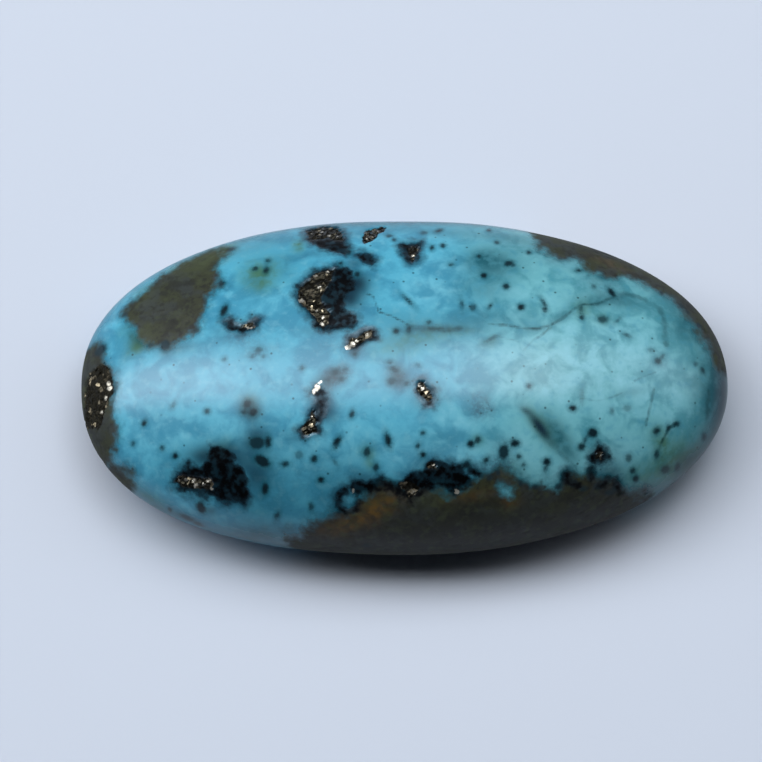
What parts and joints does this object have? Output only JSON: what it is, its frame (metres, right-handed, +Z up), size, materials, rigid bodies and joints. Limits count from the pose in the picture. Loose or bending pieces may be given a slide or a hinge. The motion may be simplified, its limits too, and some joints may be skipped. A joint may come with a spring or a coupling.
{
  "type": "polished turquoise nugget",
  "caption": "Polished oval turquoise nugget: a long high dome, steeper in front, with brown host rock, black veins and pyrite grains, rounded under and ground flat to stand.",
  "frame": {"origin": "middle of the flat back, on the surface that the stone rests on", "axes": "+X along the stone's length, +Y across its width, +Z up through the dome"},
  "size_m": [0.03, 0.016, 0.0075],
  "materials": {
    "turquoise": "polished"
  },
  "bodies": {
    "root": {"turquoise_stone": "turquoise"}
  },
  "joints": []
}
